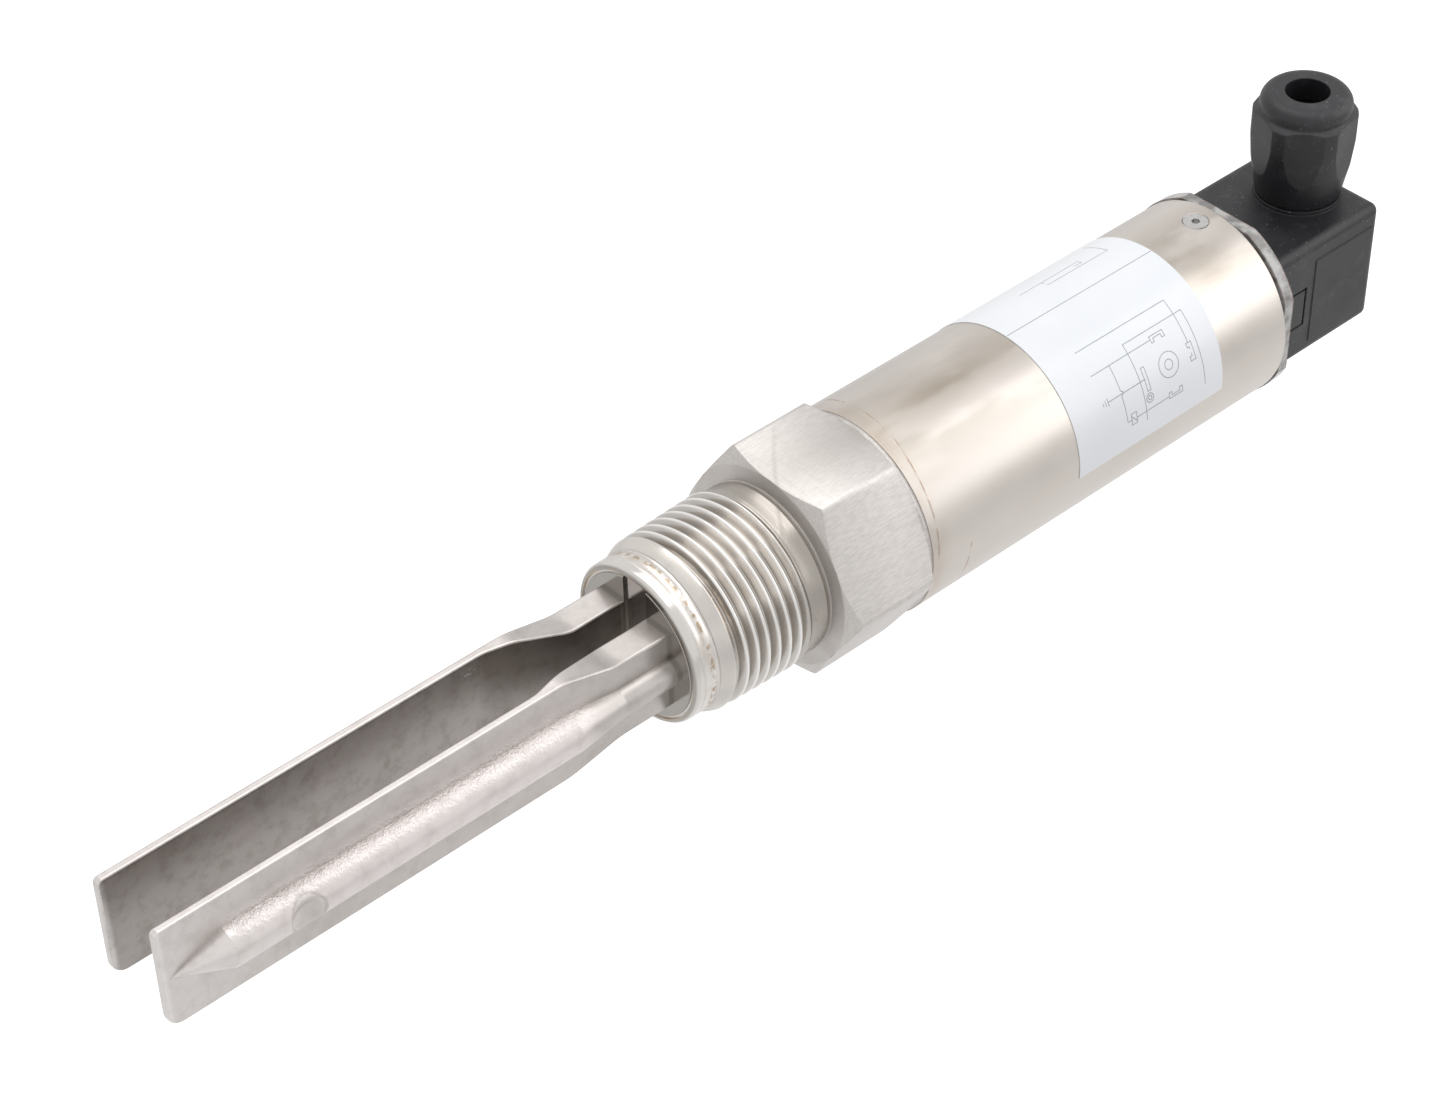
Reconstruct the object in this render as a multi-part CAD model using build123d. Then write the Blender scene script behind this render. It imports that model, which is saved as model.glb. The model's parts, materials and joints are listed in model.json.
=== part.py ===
from build123d import *
from math import radians, sin, tan
import os

# Vibrating fork level switch: a two-tine steel fork on a threaded hexagon neck, a round
# steel housing with the electronics, and a square angled plug with a cable gland.
# Millimetres. The origin is on the tube's axis, in the face of the hexagon that the
# thread runs up to. +X runs along the tube to the plug, the fork points to -X, and the
# cable gland points up along +Z.

# Tines
tine_tip_x = -130.2
blade_half_width = 10.4
blade_outer_y = 8.15
blade_inner_y = 6.5
blade_tip_low_radius = 2.8
blade_tip_high_radius = 1.0
stem_half_width = 7.9
stem_outer_y = 8.5
stem_inner_y = 2.8
blade_end_x = -50.5
stem_start_x = -40.5
inner_ramp_start_x = -56.0
inner_ramp_end_x = -40.5
ramp_radius = 10.0
waist_radius = 12.0
rib_radius = 3.9
rib_root_radius = 2.8
rib_point_x = -128.8
rib_cone_length = 10.0
tine_edge_radius = 0.45
dimple_x = -105.5
dimple_radius = 3.6
dimple_depth = 1.5
dimple_mouth_rounding = 0.4

# Nose of the fork casting
nose_face_x = -29.3
nose_weld_x = -27.6
nose_radius = 15.0
nose_edge_radius = 1.0
seam_inner_radius = 13.4
seam_outer_radius = 13.9
seam_depth = 0.3
seam_edge_radius = 0.2
slot_depth = 0.5
boss_radius = 4.5
boss_length = 4.0
drive_thread_radius = 2.5

# Threaded hexagon neck
shoulder_x = -24.2
shoulder_radius = 16.2
shoulder_length = 2.2
thread_start_x = -21.7
thread_length = 16.8
thread_pitch = 2.309
thread_gauge_radius = 16.62
thread_gauge_length = 10.4
thread_taper = 1 / 32
thread_depth = 1.479
thread_turns = 7
relief_radius = 16.1
groove_radius = 15.8
groove_width = 1.0
hex_flat_step = 0.5
hex_turn = 2.7
hex_length = 19.5
hex_chamfer_angle = 30.0
neck_length = 20.2
neck_step = 0.3
spigot_length = 4.5
neck_bore_radius = 11.5

# Housing tube and label
tube_radius = 19.5
tube_wall = 1.5
tube_length = 89.8
label_start = 35.7
label_width = 36.9
label_thickness = 0.12
label_low_angle = 183.0
label_wrap = 180.0
slip_gap = 0.05
skin_gap = 0.01

# Piezo drive
disc_radius = 7.5
disc_thickness = 2.0
disc_count = 4
disc_bore_radius = 2.9
electrode_thickness = 0.2
electrode_tab_width = 2.4
insulator_radius = 8.0
insulator_thickness = 1.2
drive_bolt_radius = 2.45
drive_bolt_head_radius = 4.2
drive_bolt_head_length = 3.5
drive_bolt_grip = 3.4
pressure_ring_radius = 7.8
pressure_ring_length = 3.0
barrier_thickness = 5.0
barrier_face_x = 19.0

# Electronics
cup_wall = 1.2
cup_floor = 1.5
board_thickness = 1.6
board_offset_y = 6.0
board_end_gap = 3.0
board_rear_gap = 5.8
rail_height = 1.4
rail_thickness = 1.2
wire_radius = 0.5
drive_wire_z = 7.4
wire_landing = 5.0
part_gap = 0.5
capacitor_radius = 4.0
capacitor_length = 14.0
capacitor_place = 14.0
capacitor_z = -5.0
relay_size = (16.0, 7.5, 10.0)
relay_place = 34.0
coil_length = 14.0
coil_depth = 7.0
coil_place = 15.0
coil_low_z = 1.0

# Socket base in the end of the tube
base_depth = 13.0
base_plate = 6.6
base_wall = 2.4
base_flange_radius = 18.9
base_flange_thickness = 0.6
bush_radius = 3.2
bush_length = 9.6
bush_boss_radius = 5.0
seal_ring_section = 0.9
seal_ring_back = 2.4
contact_pitch_radius = 9.0
blade_width = 6.3
blade_thickness = 0.8
blade_reach = 11.0
blade_fit = 0.02
tail_width = 2.6
tail_length = 4.5
tail_blade_length = 6.0
tube_screw_back = 4.5
tube_screw_radius = 1.25
tube_screw_head_radius = 2.35
tube_screw_length = 6.5
tube_screw_socket = 1.5
tube_screw_socket_depth = 0.8
tube_screw_sink = 0.12
tube_screw_gap = 0.15
gasket_circle_radius = 19.7
gasket_half_width = 18.1
gasket_corner_radius = 6.0
gasket_thickness = 2.4
gasket_window_y = 11.9
gasket_window_z = 11.5
gasket_window_radius = 2.0

# Plug
plug_length = 29.5
plug_half_width = 13.35
plug_top_z = 12.3
plug_bottom_z = -13.2
plug_wall = 1.6
plug_edge_radius = 1.8
panel_start = 11.8
panel_length = 15.8
panel_low_z = -10.4
panel_high_z = 7.9
panel_height = 0.15
frame_length = 9.9
frame_low_z = -5.6
frame_high_z = 3.0
frame_line = 0.5
frame_depth = 0.4
insert_gap = 0.15
insert_front_gap = 0.6
insert_front_step = 0.8
socket_wall = 0.5
socket_clear = 0.15
socket_floor = 1.0
terminal_width = 6.0
terminal_low = 5.2
terminal_high = 10.1
terminal_length = 5.0
terminal_screw_centre = 7.6
terminal_screw_radius = 1.5
terminal_screw_head_radius = 2.3
terminal_screw_head_length = 1.8
terminal_screw_length = 4.0
screw_slot_width = 0.6
screw_slot_depth = 0.9
running_gap = 0.05
free_gap = 0.3
centre_screw_radius = 1.5
centre_screw_head_radius = 2.9
centre_screw_head_length = 2.4
centre_screw_engagement = 6.0
centre_hole_radius = 1.8
centre_boss_radius = 4.6
centre_boss_length = 4.6
washer_thickness = 0.9
washer_radius = 3.4
recess_clear = 0.3

# Cable gland
gland_back = 8.3
collar_radius = 8.25
collar_height = 0.8
gland_spigot_radius = 7.5
gland_spigot_top = 27.0
gland_bore_radius = 5.9
gland_seat_z = 16.0
gland_seat_radius = 4.5
seal_top = 28.5
seal_bore_radius = 3.6
seal_mouth_radius = 4.6
thrust_washer_radius = 6.9
thrust_washer_bore = 4.3
thrust_washer_height = 0.7
nut_bottom_z = 13.4
nut_across_flats = 17.9
nut_turn = 10.5
nut_foot_radius = 8.0
nut_waist_radius = 9.2
nut_waist_z = 20.0
nut_full_radius = 9.65
nut_full_z = 25.0
nut_side_radius = 12.0
nut_edge_radius = 0.3
nut_flat_top_z = 30.2
nut_dome_radius = 8.55
nut_dome_base_z = 31.0
nut_dome_rounding = 2.3
nut_top_z = 34.35
nut_hole_radius = 4.15

# Places that follow from the sizes above
tube_start_x = neck_length
tube_end_x = tube_start_x + tube_length
tube_bore = tube_radius - tube_wall
hex_across_flats = 2 * (tube_radius - hex_flat_step)
neck_radius = tube_radius - neck_step
spigot_end_x = neck_length + spigot_length
base_start_x = tube_end_x - base_depth
board_start_x = spigot_end_x + cup_floor + board_end_gap
board_end_x = base_start_x - board_rear_gap
base_face_x = tube_end_x + base_flange_thickness
plug_start_x = base_face_x + gasket_thickness
plug_end_x = plug_start_x + plug_length
gland_x = plug_end_x - gland_back
tine_root_x = nose_face_x + slot_depth
thread_end_x = thread_start_x + thread_length
boss_end_x = nose_weld_x + boss_length


def box(x_span, y_span, z_span):
    """Block between two limits on each axis."""
    size = [span[1] - span[0] for span in (x_span, y_span, z_span)]
    middle = [(span[0] + span[1]) / 2 for span in (x_span, y_span, z_span)]
    return Pos(*middle) * Box(*size)


def rod_x(radius, x_start, x_end, y=0.0, z=0.0):
    """Round bar along X."""
    return Pos((x_start + x_end) / 2, y, z) * Rot(0, 90, 0) * Cylinder(radius, x_end - x_start)


def rod_z(radius, z_start, z_end, x=0.0, y=0.0):
    """Round bar along Z."""
    return Pos(x, y, (z_start + z_end) / 2) * Cylinder(radius, z_end - z_start)


def pipe_x(outer, inner, x_start, x_end):
    """Round tube along X on the main axis."""
    return rod_x(outer, x_start, x_end) - rod_x(inner, x_start, x_end)


def turned_x(profile):
    """Solid turned about the X axis from (x, radius) corners."""
    return revolve(make_face(Polyline(*profile, close=True)), Axis.X, 360)


def around_x(shape, angle):
    """Turn a shape about the main axis."""
    return Rot(angle, 0, 0) * shape


def rounded_outline(corners):
    """Closed face from (u, v, radius) corners, each rounded by its own radius."""
    stretches = []
    for index, (u, v, radius) in enumerate(corners):
        here = Vector(u, v)
        before = Vector(*corners[index - 1][:2])
        after = Vector(*corners[(index + 1) % len(corners)][:2])
        back = (before - here).normalized()
        ahead = (after - here).normalized()
        if radius == 0:
            stretches.append((here, None, here))
            continue
        half = radians(back.get_angle(ahead) / 2)
        reach = radius / tan(half)
        centre = here + (back + ahead).normalized() * (radius / sin(half))
        middle = centre + (here - centre).normalized() * radius
        stretches.append((here + back * reach, middle, here + ahead * reach))
    edges = []
    for index, (start, middle, end) in enumerate(stretches):
        edges.append(Edge.make_line(stretches[index - 1][2], start))
        if middle is not None:
            edges.append(Edge.make_three_point_arc(start, middle, end))
    return Face(Wire(edges))


def turned_gland(profile):
    """Solid turned about the gland's axis from (radius, z, rounding) corners."""
    return Pos(gland_x, 0, 0) * revolve(Plane.XZ * rounded_outline(profile), Axis.Z, 360)


def save(name, shape):
    """Write one piece to its own file."""
    export_step(shape, f"parts/{name}.step")


def tine():
    """One tine on the +Y side: a thin blade, a thick stem and a half-round rib."""
    deep = 40
    side = rounded_outline([
        (tine_tip_x, blade_inner_y, 0),
        (inner_ramp_start_x, blade_inner_y, ramp_radius),
        (inner_ramp_end_x, stem_inner_y, ramp_radius),
        (tine_root_x, stem_inner_y, 0),
        (tine_root_x, stem_outer_y, 0),
        (stem_start_x, stem_outer_y, waist_radius),
        (blade_end_x, blade_outer_y, waist_radius),
        (tine_tip_x, blade_outer_y, 0),
    ])
    front = rounded_outline([
        (tine_tip_x, -blade_half_width, blade_tip_low_radius),
        (blade_end_x, -blade_half_width, waist_radius),
        (stem_start_x, -stem_half_width, waist_radius),
        (tine_root_x, -stem_half_width, 0),
        (tine_root_x, stem_half_width, 0),
        (stem_start_x, stem_half_width, waist_radius),
        (blade_end_x, blade_half_width, waist_radius),
        (tine_tip_x, blade_half_width, blade_tip_high_radius),
    ])
    blank = extrude(side, deep, both=True) & extrude(Plane.XZ * front, deep, both=True)
    root_edges = blank.edges().filter_by_position(Axis.X, tine_root_x - 0.01, tine_root_x + 0.01)
    blank = fillet(blank.edges() - root_edges, tine_edge_radius)
    rib = Pos(0, blade_outer_y, 0) * turned_x([
        (rib_point_x, 0),
        (rib_point_x + rib_cone_length, rib_radius),
        (blade_end_x, rib_radius),
        (stem_start_x, rib_root_radius),
        (tine_root_x, rib_root_radius),
        (tine_root_x, 0),
    ])
    middle_y = (blade_outer_y + blade_inner_y) / 2
    rib &= box((tine_tip_x, 0), (middle_y, deep), (-deep, deep))
    crest_y = blade_outer_y + rib_radius
    ball_radius = (dimple_radius ** 2 + dimple_depth ** 2) / (2 * dimple_depth)
    ball = Pos(dimple_x, crest_y - dimple_depth + ball_radius, 0) * Sphere(ball_radius)
    dished = (blank + rib) - ball
    mouth = dished.edges().filter_by_position(Axis.X, dimple_x - dimple_radius, dimple_x + dimple_radius)
    return fillet(mouth, dimple_mouth_rounding)


def fork():
    """Fork casting: the round nose with the seam in its face, and the two tines."""
    nose = revolve(rounded_outline([
        (nose_face_x, 0, 0),
        (nose_face_x, seam_inner_radius, seam_edge_radius),
        (nose_face_x + seam_depth, seam_inner_radius, 0),
        (nose_face_x + seam_depth, seam_outer_radius, 0),
        (nose_face_x, seam_outer_radius, 0),
        (nose_face_x, nose_radius, nose_edge_radius),
        (nose_weld_x, nose_radius, 0),
        (nose_weld_x, boss_radius, 0),
        (boss_end_x, boss_radius, 0),
        (boss_end_x, 0, 0),
    ]), Axis.X, 360)
    nose -= rod_x(seam_inner_radius, nose_face_x, tine_root_x) & box(
        (nose_face_x, tine_root_x), (-stem_inner_y, stem_inner_y), (-nose_radius, nose_radius))
    right = tine()
    shape = nose + right + mirror(right, Plane.XZ)
    tapped_hole = rod_x(drive_thread_radius, boss_end_x - boss_length, boss_end_x)
    return shape - tapped_hole


def thread_radius(x):
    """Crest radius of the tapered pipe thread at a place along the axis."""
    return thread_gauge_radius + (x - thread_start_x - thread_gauge_length) * thread_taper


def thread_profile():
    """Crests and roots of the tapered thread, from the fork end to the hexagon."""
    points = [(thread_start_x, thread_radius(thread_start_x) - thread_depth)]
    crest_width = thread_pitch / 6
    first = thread_start_x + thread_pitch
    for turn in range(thread_turns):
        crest = first + turn * thread_pitch
        crest_radius = thread_radius(crest)
        root = crest - thread_pitch / 2
        root_radius = thread_radius(root) - thread_depth
        points.append((root - crest_width / 2, root_radius))
        points.append((root + crest_width / 2, root_radius))
        points.append((crest - crest_width / 2, crest_radius))
        points.append((crest + crest_width / 2, crest_radius))
    points.append((thread_end_x - crest_width, relief_radius - thread_depth / 2))
    return points


def process_connection():
    """Turned neck with the pipe thread, the hexagon and the spigot for the tube."""
    chamfer = tan(radians(hex_chamfer_angle))
    corner_radius = hex_across_flats / 2 / sin(radians(60))
    face_radius = hex_across_flats / 2
    corner_set_back = (corner_radius - face_radius) * chamfer
    blank = turned_x([
        (0, 0),
        (0, face_radius),
        (corner_set_back, corner_radius),
        (hex_length - (corner_radius - neck_radius) * chamfer, corner_radius),
        (hex_length, neck_radius),
        (neck_length, neck_radius),
        (neck_length, 0),
    ])
    hexagon = RegularPolygon(hex_across_flats / 2, 6, major_radius=False, rotation=hex_turn)
    prism = extrude(Plane.YZ * hexagon, neck_length)
    neck = turned_x([
        (nose_weld_x, 0),
        (nose_weld_x, nose_radius),
        (shoulder_x, nose_radius),
        (shoulder_x + shoulder_length, shoulder_radius),
        (thread_start_x, shoulder_radius),
        *thread_profile(),
        (thread_end_x, relief_radius),
        (-groove_width, relief_radius),
        (-groove_width, groove_radius),
        (0, groove_radius),
        (0, 0),
    ])
    spigot = rod_x(tube_bore - slip_gap, neck_length, spigot_end_x)
    bore = rod_x(neck_bore_radius, nose_weld_x, spigot_end_x)
    return neck + (blank & prism) + spigot - bore


def tube_screw_place():
    """Place of the small countersunk screw, at the top of the tube near its end."""
    return Pos(tube_end_x - tube_screw_back, 0, tube_radius - tube_screw_sink)


def screw_sink(grow):
    """Cone under the small screw's head, larger all round by a gap."""
    depth = tube_screw_head_radius - tube_screw_radius
    return Pos(0, 0, -depth / 2) * Cone(tube_screw_radius + grow, tube_screw_head_radius + grow, depth)


def tube_screw_hole():
    """Countersunk hole for the small screw."""
    mouth = Pos(0, 0, tube_radius / 2) * Cylinder(tube_screw_head_radius + tube_screw_gap, tube_radius)
    length = tube_screw_length + free_gap
    shank = Pos(0, 0, -length / 2) * Cylinder(tube_screw_radius + slip_gap, length)
    return tube_screw_place() * (screw_sink(tube_screw_gap) + mouth + shank)


def housing_tube():
    """Steel tube with the countersunk hole for the small screw."""
    return pipe_x(tube_radius, tube_bore, tube_start_x, tube_end_x) - tube_screw_hole()


def label():
    """Foil label wrapped over the top of the tube."""
    start = tube_start_x + label_start
    inner = tube_radius + skin_gap
    ring = pipe_x(inner + label_thickness, inner, start, start + label_width)
    reach = 2 * tube_radius
    half = box((start, start + label_width), (-reach, reach), (0, reach))
    return ring & around_x(half, label_low_angle - label_wrap)


def drive_places():
    """Start places along X of the pieces stacked on the drive bolt."""
    places = {}
    x = boss_end_x
    places["insulator_front"] = x
    x += insulator_thickness
    for number in range(1, disc_count + 1):
        places[f"electrode_{number}"] = x
        x += electrode_thickness
        places[f"piezo_disc_{number}"] = x
        x += disc_thickness
    places[f"electrode_{disc_count + 1}"] = x
    x += electrode_thickness
    places["insulator_rear"] = x
    x += insulator_thickness
    places["pressure_ring"] = x
    x += pressure_ring_length
    places["bolt_head"] = x
    return places


def drive_pieces():
    """Piezo discs, electrodes, insulators, pressure ring and the bolt that clamps them."""
    places = drive_places()
    pieces = {}
    for name in ("insulator_front", "insulator_rear"):
        start = places[name]
        pieces[name] = pipe_x(insulator_radius, disc_bore_radius, start, start + insulator_thickness)
    for number in range(1, disc_count + 1):
        start = places[f"piezo_disc_{number}"]
        end = start + disc_thickness
        pieces[f"piezo_disc_{number}"] = pipe_x(disc_radius, disc_bore_radius, start, end)
    for number in range(1, disc_count + 2):
        start = places[f"electrode_{number}"]
        end = start + electrode_thickness
        side = 1 if number % 2 else -1
        disc = pipe_x(disc_radius, disc_bore_radius, start, end)
        tab_inner = disc_radius - 1
        tab_y = sorted((0, side * (board_offset_y - wire_radius)))
        tab_z = (drive_wire_z - wire_radius - electrode_tab_width, drive_wire_z - wire_radius)
        tab = box((start, end), tab_y, tab_z) - rod_x(tab_inner, start, end)
        pieces[f"electrode_{number}"] = disc + tab
    start = places["pressure_ring"]
    end = start + pressure_ring_length
    pieces["pressure_ring"] = pipe_x(pressure_ring_radius, disc_bore_radius, start, end)
    head = RegularPolygon(drive_bolt_head_radius, 6)
    bolt_end = boss_end_x - drive_bolt_grip
    bolt = rod_x(drive_bolt_radius, bolt_end, places["bolt_head"])
    bolt += Pos(places["bolt_head"], 0, 0) * extrude(Plane.YZ * head, drive_bolt_head_length)
    pieces["drive_bolt"] = bolt
    return pieces


def drive_wires():
    """Two straight wires from the electrode tabs to the boards."""
    places = drive_places()
    end = board_start_x + wire_landing
    wires = {}
    for side, name, electrode in ((1, "drive_wire_1", "electrode_1"), (-1, "drive_wire_2", "electrode_2")):
        y = side * (board_offset_y - wire_radius)
        wires[name] = rod_x(wire_radius, places[electrode], end, y, drive_wire_z)
    return wires


def wire_holes(x_start, x_end):
    """Clearance holes for the two drive wires."""
    holes = None
    for side in (1, -1):
        y = side * (board_offset_y - wire_radius)
        hole = rod_x(wire_radius + slip_gap, x_start, x_end, y, drive_wire_z)
        holes = hole if holes is None else holes + hole
    return holes


def heat_barrier():
    """Insulating disc that closes the neck behind the drive."""
    start = barrier_face_x
    end = start + barrier_thickness
    return rod_x(neck_bore_radius - slip_gap, start, end) - wire_holes(start, end)


def cup_radius():
    """Inside radius of the electronics cup."""
    return tube_bore - slip_gap - cup_wall


def board_half_width():
    """Half the width of a board, so that its edges reach the cup."""
    outer = board_offset_y + board_thickness
    return (cup_radius() ** 2 - outer ** 2) ** 0.5 - slip_gap


def electronics_cup():
    """Plastic cup with rails for the two boards."""
    start = spigot_end_x
    inner = cup_radius()
    shape = rod_x(tube_bore - slip_gap, start, base_start_x)
    cavity = rod_x(inner, start + cup_floor, base_start_x)
    rails = None
    board_edge = board_half_width()
    rail_x = (start + cup_floor, board_end_x)
    for side in (1, -1):
        for up in (1, -1):
            near = side * (board_offset_y - slip_gap)
            far = side * (board_offset_y - slip_gap - rail_thickness)
            z_low = up * (board_edge - rail_height)
            rail = box(rail_x, sorted((near, far)), sorted((z_low, up * tube_bore)))
            rails = rail if rails is None else rails + rail
    cavity -= rails
    return shape - cavity - wire_holes(start, start + cup_floor)


def boards():
    """Two circuit boards that stand in the cup's rails."""
    pieces = {}
    half = board_half_width()
    for side, name in ((1, "board_drive"), (-1, "board_output")):
        near = side * board_offset_y
        far = side * (board_offset_y + board_thickness)
        pieces[name] = box((board_start_x, board_end_x), sorted((near, far)), (-half, half))
    return pieces


def board_parts():
    """The large components between the boards."""
    pieces = {}
    start = board_start_x + capacitor_place
    pieces["capacitor"] = rod_x(capacitor_radius, start, start + capacitor_length,
                                board_offset_y - capacitor_radius, capacitor_z)
    start = board_start_x + relay_place
    length, depth, width = relay_size
    pieces["switching_relay"] = box((start, start + length),
                                    (-board_offset_y, -board_offset_y + depth),
                                    (-width / 2, width / 2))
    start = board_start_x + coil_place
    coil_high_z = board_half_width() - rail_height - part_gap
    pieces["oscillator_coil"] = box((start, start + coil_length),
                                    (-board_offset_y, -board_offset_y + coil_depth),
                                    (coil_low_z, coil_high_z))
    return pieces


def contact_angle(number):
    """Angle about X of each contact, from +Y: two at the sides, one low, earth on top."""
    return (0, 180, 270, 90)[number]


def at_contact(shape, number):
    """Move a shape made for the +Y side to a contact's own place."""
    return around_x(shape, contact_angle(number))


def contact_blade():
    """Flat contact blade with its solder tail, on the +Y side."""
    y_span = (contact_pitch_radius - blade_thickness / 2, contact_pitch_radius + blade_thickness / 2)
    front = base_face_x + blade_reach
    step = base_face_x - base_plate - tail_blade_length / 2
    blade = box((step, front), y_span, (-blade_width / 2, blade_width / 2))
    tail = box((step - tail_length, step), y_span, (-tail_width / 2, tail_width / 2))
    return blade + tail


def connector_base():
    """Plastic socket base that closes the end of the tube."""
    plate_x = base_face_x - base_plate
    bush_start = base_face_x - bush_length
    shape = rod_x(tube_bore - slip_gap, base_start_x, tube_end_x)
    shape += rod_x(base_flange_radius, tube_end_x, base_face_x)
    cavity = rod_x(tube_bore - slip_gap - base_wall, base_start_x, plate_x)
    cavity -= rod_x(bush_boss_radius, bush_start, plate_x)
    shape -= cavity
    shape -= rod_x(bush_radius, bush_start, base_face_x)
    ring_x = tube_end_x - seal_ring_back
    groove_floor = tube_bore - 2 * seal_ring_section
    groove = pipe_x(tube_bore, groove_floor, ring_x - seal_ring_section - slip_gap,
                    ring_x + seal_ring_section + slip_gap)
    shape -= groove
    y_low = contact_pitch_radius - blade_thickness / 2 - blade_fit
    y_high = contact_pitch_radius + blade_thickness / 2 + blade_fit
    z_half = blade_width / 2 + blade_fit
    slit = box((plate_x, base_face_x), (y_low, y_high), (-z_half, z_half))
    for number in range(4):
        shape -= at_contact(slit, number)
    return shape - tube_screw_hole()


def threaded_bush():
    """Brass bush for the plug's centre screw."""
    start = base_face_x - bush_length
    return pipe_x(bush_radius - skin_gap, centre_screw_radius + running_gap, start, base_face_x)


def seal_ring():
    """Rubber ring between the base and the tube."""
    ring = Torus(tube_bore - seal_ring_section - skin_gap, seal_ring_section - skin_gap)
    return Pos(tube_end_x - seal_ring_back, 0, 0) * Rot(0, 90, 0) * ring


def tube_screw():
    """Small countersunk screw with a six-sided socket."""
    shank = Pos(0, 0, -tube_screw_length / 2) * Cylinder(tube_screw_radius, tube_screw_length)
    hexagon = RegularPolygon(tube_screw_socket / 2, 6, major_radius=False)
    socket = Pos(0, 0, -tube_screw_socket_depth) * extrude(hexagon, tube_screw_socket_depth)
    return tube_screw_place() * (screw_sink(0) + shank - socket)


def contact_wires():
    """Short wires from the contact tails to the boards."""
    tail_end = base_face_x - base_plate - tail_blade_length / 2
    run = (board_end_x - wire_landing, tail_end - tail_length + wire_landing / 2)
    side_y = contact_pitch_radius - blade_thickness / 2 - wire_radius
    board_y = board_offset_y - wire_radius
    pieces = {}
    pieces["contact_wire_1"] = rod_x(wire_radius, *run, side_y, 0)
    pieces["contact_wire_2"] = rod_x(wire_radius, *run, -side_y, 0)
    for name, side, up in (("contact_wire_3", 1, -1), ("earth_wire", -1, 1)):
        straight = rod_x(wire_radius, *run, side * board_y, up * side_y)
        corner = Pos(run[1], side * board_y, up * side_y) * Sphere(wire_radius)
        cross_length = board_y
        cross = Rot(90, 0, 0) * Cylinder(wire_radius, cross_length)
        cross = Pos(run[1], side * (board_y - cross_length / 2), up * side_y) * cross
        pieces[name] = straight + corner + cross
    return pieces


def profile_gasket():
    """Grey gasket between the tube and the plug, a rounded square with a window."""
    square = RectangleRounded(2 * gasket_half_width, 2 * gasket_half_width, gasket_corner_radius)
    window = RectangleRounded(2 * gasket_window_y, 2 * gasket_window_z, gasket_window_radius)
    outline = (square & Circle(gasket_circle_radius)) - window
    return Pos(base_face_x, 0, 0) * extrude(Plane.YZ * outline, gasket_thickness)


def centre_recess_x():
    """Floor of the recess for the centre screw's head in the end of the plug."""
    return plug_end_x - centre_screw_head_length - washer_thickness


def plug_housing():
    """Black plug housing, open towards the tube, with the spigot of the cable gland."""
    y_span = (-plug_half_width, plug_half_width)
    z_span = (plug_bottom_z, plug_top_z)
    shape = box((plug_start_x, plug_end_x), y_span, z_span)
    rounded = shape.edges().filter_by(Axis.X) + shape.faces().sort_by(Axis.X)[-1].edges()
    shape = fillet(rounded, plug_edge_radius)
    for side in (1, -1):
        face_y = side * plug_half_width
        shape += box((plug_start_x + panel_start, plug_start_x + panel_start + panel_length),
                     sorted((0, face_y + side * panel_height)), (panel_low_z, panel_high_z))
    mark = box((plug_start_x, plug_start_x + frame_length),
               (-plug_half_width, frame_depth - plug_half_width), (frame_low_z, frame_high_z))
    mark -= box((plug_start_x, plug_start_x + frame_length - frame_line),
                (-plug_half_width, 0), (frame_low_z + frame_line, frame_high_z - frame_line))
    shape -= mark
    shape += rod_z(collar_radius, 0, plug_top_z + collar_height, gland_x)
    shape += rod_z(gland_spigot_radius, 0, gland_spigot_top, gland_x)
    cavity_end = plug_end_x - plug_wall
    cavity = box((plug_start_x, cavity_end), (plug_wall - plug_half_width, plug_half_width - plug_wall),
                 (plug_bottom_z + plug_wall, plug_top_z - plug_wall))
    boss_start = centre_recess_x() - centre_boss_length + plug_wall
    cavity -= rod_x(centre_boss_radius, boss_start, plug_end_x)
    shape -= cavity
    shape -= rod_x(washer_radius + recess_clear, centre_recess_x(), plug_end_x)
    shape -= rod_x(centre_hole_radius, boss_start, plug_end_x)
    shape -= rod_z(gland_bore_radius, gland_seat_z, gland_spigot_top, gland_x)
    return shape - rod_z(gland_seat_radius, plug_top_z - plug_wall, gland_spigot_top, gland_x)


def socket_span():
    """Start and end of the sockets along X."""
    start = plug_start_x + insert_front_step
    return start, base_face_x + blade_reach + socket_floor + free_gap


def socket_contact():
    """Brass socket with its terminal block, on the +Y side."""
    start, end = socket_span()
    inner = blade_thickness / 2 + socket_clear
    outer = inner + socket_wall
    z_inner = blade_width / 2 + socket_clear
    z_outer = z_inner + socket_wall
    shape = box((start, end), (contact_pitch_radius - outer, contact_pitch_radius + outer),
                (-z_outer, z_outer))
    shape -= box((start, end - socket_floor), (contact_pitch_radius - inner, contact_pitch_radius + inner),
                 (-z_inner, z_inner))
    shape += box((end, end + terminal_length), (terminal_low, terminal_high),
                 (-terminal_width / 2, terminal_width / 2))
    thread = rod_x(terminal_screw_radius + running_gap, end + terminal_length - terminal_screw_length,
                   end + terminal_length, terminal_screw_centre)
    return shape - thread


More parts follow.
